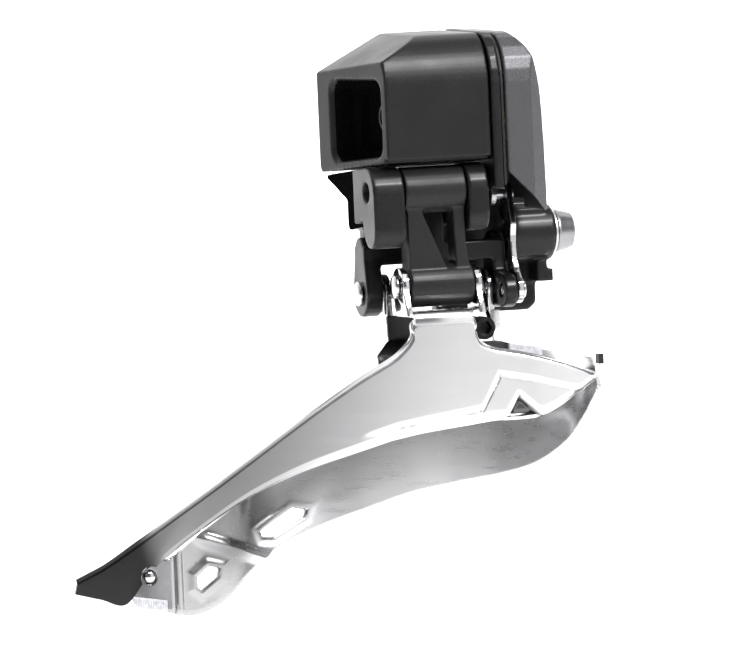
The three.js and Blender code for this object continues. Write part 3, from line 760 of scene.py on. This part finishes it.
def makeFasteners():
    head = [(-7.3, 1.4), *threaded(-7.1, 0.7, 2.4), (0.75, 2.4), (1, 3.5), (1.05, 3.92), (1.4, 3.95),
            (1.6, 3.85), (4, 3.2), (4.25, 3.1), (4.4, 2.8)]
    bolt = turned("clampBolt", head, (0, 0, 0), "x", boltSteel, 64, (2.3, 1.9, 6))
    settle(bolt, "bolt", "brushed_steel", "clamp_bolt")
    washer = turned("clampWasher", [(0.32, 4.0), (0.4, 4.2), (0.82, 4.2), (0.9, 3.95)], (0, 0, 0), "x",
                    plainSteel, 64)
    settle(washer, "bolt", "steel", "radius_washer")
    support = turned("supportBolt", [(0, 1.75), (0.25, 2.08), (3, 2.08), (3.05, 1.9),
                                     *threaded(3.1, 19.4, 1.95, 0.7, 0.2), (20, 1.5)],
                     (-16.8, -13, -16), "y", blackSteel, 48, (1.35, -1, 1.6))
    settle(support, "support", "black_steel", "support_bolt")
    screw = turned("strokeScrew", [(0, 1.05), (0.15, 1.2), (4.8, 1.2)], (-16, -11.4, 5.4), "y",
                   blackSteel, 32, (0.75, -1, 1.3))
    settle(screw, "stroke", "black_steel", "stroke_screw")
    stem = [(0, 0.6), (0.15, 0.95), (1.75, 0.95), (1.8, 1.8), (2.3, 1.85), (2.45, 1.3)]
    rivet = turned("tailRivet", stem, (-84, -21.6, -56), "y", brightChrome, 32)
    settle(rivet, "cage", "chrome", "tail_rivet")


def makePins():
    pins = [("upperOuterPin", "outer_pivot_pin", 1.5, 1.5), ("upperInnerPin", "inner_pivot_pin", 1.5, 1.5),
            ("lowerInnerPin", "cage_inner_pin", 1.35, 2.2), ("lowerOuterPin", "cage_outer_pin", 1.3, 2.1),
            ("cagePinStud", "link_pin", 0.9, 0.9)]
    for name, node, radius, head in pins:
        low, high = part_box(node)
        x0, x1 = low.x / mm, high.x / mm
        y, z = (low.y + high.y) / 2 / mm, (low.z + high.z) / 2 / mm
        profile = [(x0, head * 0.45), (x0 + 0.12, head * 0.8), (x0 + 0.35, head * 0.98), (x0 + 0.7, head),
                   (x0 + 0.72, radius), (x1 - 0.35, radius), (x1, radius * 0.7)]
        if node == "outer_pivot_pin":
            profile = [(x0 + 0.9, radius * 0.6), (x0 + 1.1, radius), (x1 - 0.35, radius),
                       (x1, radius * 0.7)]
        if node == "link_pin":
            profile = [(x0, 0.8), (x1 - 0.52, 0.88), (x1 - 0.5, 1.6), (x1 - 0.2, 1.55), (x1, 0.9)]
        settle(turned(name, profile, (0, y, z), "x", brightChrome, 40), bodyOf(node), "chrome", node)


makeFasteners()
makePins()
print("fasteners turned")


# Geometry Nodes: the spring's coil and the guide's grip

def nodeGroup(name, inputs):
    group = bpy.data.node_groups.new(name, "GeometryNodeTree")
    group.interface.new_socket("Geometry", in_out="INPUT", socket_type="NodeSocketGeometry")
    for label, kind, value in inputs:
        socket = group.interface.new_socket(label, in_out="INPUT", socket_type=kind)
        socket.default_value = value
    group.interface.new_socket("Geometry", in_out="OUTPUT", socket_type="NodeSocketGeometry")
    return group, group.nodes.new("NodeGroupInput"), group.nodes.new("NodeGroupOutput")


def runNodes(piece, group, values, material):
    modifier = piece.modifiers.new("nodes", "NODES")
    modifier.node_group = group
    for item in group.interface.items_tree:
        if item.item_type == "SOCKET" and item.in_out == "INPUT" and item.name in values:
            modifier[item.identifier] = values[item.name]
    bake(piece)
    piece.data.materials.clear()
    piece.data.materials.append(material)


def finishNodes(group, source, output, material):
    realize = group.nodes.new("GeometryNodeRealizeInstances")
    dress = group.nodes.new("GeometryNodeSetMaterial")
    dress.inputs["Material"].default_value = material
    group.links.new(source, realize.inputs["Geometry"])
    group.links.new(realize.outputs["Geometry"], dress.inputs["Geometry"])
    group.links.new(dress.outputs["Geometry"], output.inputs["Geometry"])


spring = {"turns": 5.5, "coilRadius": 2.7, "wire": 0.42, "start": -30.9, "length": 9.4, "centre": (-5, -9)}


def makeSpring():
    group, given, output = nodeGroup("springCoil", [
        ("Turns", "NodeSocketFloat", 5.0), ("Coil Radius", "NodeSocketFloat", 0.003),
        ("Length", "NodeSocketFloat", 0.01), ("Wire Radius", "NodeSocketFloat", 0.0004)])
    spiral = group.nodes.new("GeometryNodeCurveSpiral")
    spiral.inputs["Resolution"].default_value = 40
    wire = group.nodes.new("GeometryNodeCurvePrimitiveCircle")
    wire.inputs["Resolution"].default_value = 14
    sweep = group.nodes.new("GeometryNodeCurveToMesh")
    sweep.inputs["Fill Caps"].default_value = True
    link = group.links.new
    link(given.outputs["Turns"], spiral.inputs["Rotations"])
    link(given.outputs["Coil Radius"], spiral.inputs["Start Radius"])
    link(given.outputs["Coil Radius"], spiral.inputs["End Radius"])
    link(given.outputs["Length"], spiral.inputs["Height"])
    link(given.outputs["Wire Radius"], wire.inputs["Radius"])
    link(spiral.outputs["Curve"], sweep.inputs["Curve"])
    link(wire.outputs["Curve"], sweep.inputs["Profile Curve"])
    finishNodes(group, sweep.outputs["Mesh"], output, brightChrome)
    piece = newPiece("saverCoil", bpy.data.meshes.new("saverCoil"), brightChrome)
    values = {"Turns": spring["turns"], "Coil Radius": spring["coilRadius"] * mm,
              "Length": spring["length"] * mm, "Wire Radius": spring["wire"] * mm}
    runNodes(piece, group, values, brightChrome)
    y, z = spring["centre"]
    turn = Matrix.Rotation(math.pi / 2, 4, "Y")
    piece.data.transform(Matrix.Translation(Vector((spring["start"], y, z)) * mm) @ turn)
    smoothShade(piece, 60)
    settle(piece, "inner_arm", "steel", "saver_spring")


guide = {
    "centre": (-84.2, -21.5, -60.75), "size": (6, 1.7), "gripShare": 0.62, "across": 14, "up": 4,
    "tilt": 0.17, "stud": 0.16, "stripShift": (0.4, -1.8, 0),
}


def makeGuide():
    group, given, output = nodeGroup("gripStuds", [
        ("Length", "NodeSocketFloat", 0.007), ("Height", "NodeSocketFloat", 0.002),
        ("Stud Radius", "NodeSocketFloat", 0.0002)])
    grid = group.nodes.new("GeometryNodeMeshGrid")
    grid.inputs["Vertices X"].default_value = guide["across"]
    grid.inputs["Vertices Y"].default_value = guide["up"]
    stud = group.nodes.new("GeometryNodeMeshIcoSphere")
    stud.inputs["Subdivisions"].default_value = 2
    scatter = group.nodes.new("GeometryNodeInstanceOnPoints")
    merge = group.nodes.new("GeometryNodeJoinGeometry")
    link = group.links.new
    link(given.outputs["Length"], grid.inputs["Size X"])
    link(given.outputs["Height"], grid.inputs["Size Y"])
    link(given.outputs["Stud Radius"], stud.inputs["Radius"])
    link(grid.outputs["Mesh"], scatter.inputs["Points"])
    link(stud.outputs["Mesh"], scatter.inputs["Instance"])
    link(scatter.outputs["Instances"], merge.inputs["Geometry"])
    finishNodes(group, merge.outputs["Geometry"], output, frostedResin)
    piece = newPiece("guideGrip", bpy.data.meshes.new("guideGrip"), frostedResin)
    length, height = guide["size"]
    values = {"Length": length * mm, "Height": height * guide["gripShare"] * mm,
              "Stud Radius": guide["stud"] * mm}
    runNodes(piece, group, values, frostedResin)
    turn = Matrix.Rotation(guide["tilt"], 4, "Y") @ Matrix.Rotation(math.pi / 2, 4, "X")
    piece.data.transform(Matrix.Translation(Vector(guide["centre"]) * mm) @ turn)
    settle(piece, "cage", "frosted")
    strip = roundedCopy("tailGuide", "tail_guide", 0.1, 3, frostedResin, "frosted")
    strip.data.transform(Matrix.Translation(Vector(guide["stripShift"]) * mm))


makeSpring()
makeGuide()
print("spring and guide made")


# stage, camera and light

stage = {"floor": -68, "back": 700, "half": 2500, "bend": 300, "dimFrom": -300, "dimTo": -130}


def makeStage():
    half, back, bend = stage["half"], stage["back"], stage["bend"]
    profile = [(-half, 0)]
    for step in range(17):
        angle = math.pi / 2 * step / 16
        profile.append((back + bend * math.sin(angle), bend * (1 - math.cos(angle))))
    profile.append((back + bend, half))
    verts = [(x, y, z + stage["floor"]) for y, z in profile for x in (-half, half)]
    faces = [(2 * i, 2 * i + 1, 2 * i + 3, 2 * i + 2) for i in range(len(profile) - 1)]
    material, tree, shader, coords = startMaterial("paleFloor")
    shader.inputs["Roughness"].default_value = 0.8
    split = tree.nodes.new("ShaderNodeSeparateXYZ")
    tree.links.new(coords.outputs["Object"], split.inputs["Vector"])
    # painted light: the floor glows, white under and behind the part, and its colour and glow dim towards
    # the viewer
    spread = tree.nodes.new("ShaderNodeMapRange")
    spread.inputs["From Min"].default_value = stage["dimFrom"] * mm
    spread.inputs["From Max"].default_value = stage["dimTo"] * mm
    tree.links.new(split.outputs["Y"], spread.inputs["Value"])
    plain = (1, 1, 1)
    for label, dim, bright in (("Base Color", 0.35, 0.9), ("Emission Color", 0.08, 0.45)):
        ramp = addRamp(tree, spread.outputs["Result"], 0, 1, shadeOf(dim, plain), shadeOf(bright, plain))
        tree.links.new(ramp.outputs["Color"], shader.inputs[label])
    shader.inputs["Emission Strength"].default_value = 1
    floor = newPiece("paleFloor", meshFrom("paleFloor", verts, faces), material)
    for polygon in floor.data.polygons:
        polygon.use_smooth = True


camera = {"azimuth": -18, "elevation": 3, "roll": 2.5, "lens": 900, "across": 131.8, "aim": (-32.9, -15.6)}


def makeCamera():
    a, e = math.radians(camera["azimuth"]), math.radians(camera["elevation"])
    back = Vector((math.sin(a) * math.cos(e), -math.cos(a) * math.cos(e), math.sin(e)))
    right = Vector((math.cos(a), math.sin(a), 0))
    up = back.cross(right)
    aim = (right * camera["aim"][0] + up * camera["aim"][1]) * mm
    data = bpy.data.cameras.new("studioCamera")
    data.lens = camera["lens"]
    data.sensor_width = 36
    data.clip_start = 0.01
    data.clip_end = 20
    distance = camera["across"] * mm * camera["lens"] / 36
    eye = bpy.data.objects.new("studioCamera", data)
    bpy.context.scene.collection.objects.link(eye)
    tilt = math.radians(camera["roll"])
    rolledRight = right * math.cos(tilt) - up * math.sin(tilt)
    rolledUp = up * math.cos(tilt) + right * math.sin(tilt)
    turn = Matrix((rolledRight, rolledUp, back)).transposed().to_4x4()
    eye.matrix_world = Matrix.Translation(aim + back * distance) @ turn
    bpy.context.scene.camera = eye


def areaLight(name, place, size, power, aim=(-0.045, -0.01, -0.01)):
    data = bpy.data.lights.new(name, "AREA")
    data.shape = "RECTANGLE"
    data.size, data.size_y = size
    data.energy = power
    lamp = bpy.data.objects.new(name, data)
    bpy.context.scene.collection.objects.link(lamp)
    lamp.location = place
    lamp.rotation_mode = "QUATERNION"
    lamp.rotation_quaternion = (Vector(aim) - Vector(place)).to_track_quat("-Z", "Y")


def makeLight():
    areaLight("topSoftbox", (-0.1, -0.25, 0.75), (0.9, 0.7), 2.4)
    areaLight("shoulderStrip", (0.26, -0.6, 0.56), (0.4, 0.12), 11)
    areaLight("rightPanel", (0.5, -0.85, 0.12), (0.55, 0.9), 1.5)
    areaLight("leftPanel", (-0.8, -0.35, 0.3), (0.3, 0.8), 0.5)
    areaLight("backWash", (0, 0.35, 0.6), (1.4, 0.5), 9, (0, 0.9, 0.1))
    world = bpy.data.worlds.new("softRoom")
    bpy.context.scene.world = world
    world.use_nodes = True
    tree = world.node_tree
    background = tree.nodes["Background"]
    coords = tree.nodes.new("ShaderNodeTexCoord")
    split = tree.nodes.new("ShaderNodeSeparateXYZ")
    tree.links.new(coords.outputs["Generated"], split.inputs["Vector"])
    ramp = addRamp(tree, split.outputs["Z"], 0.0, 0.9, shadeOf(0.62), shadeOf(0.95))
    tree.links.new(ramp.outputs["Color"], background.inputs["Color"])
    background.inputs["Strength"].default_value = 0.27
    bpy.context.scene.view_settings.view_transform = "Standard"


makeStage()
makeCamera()
makeLight()
print("stage ready")
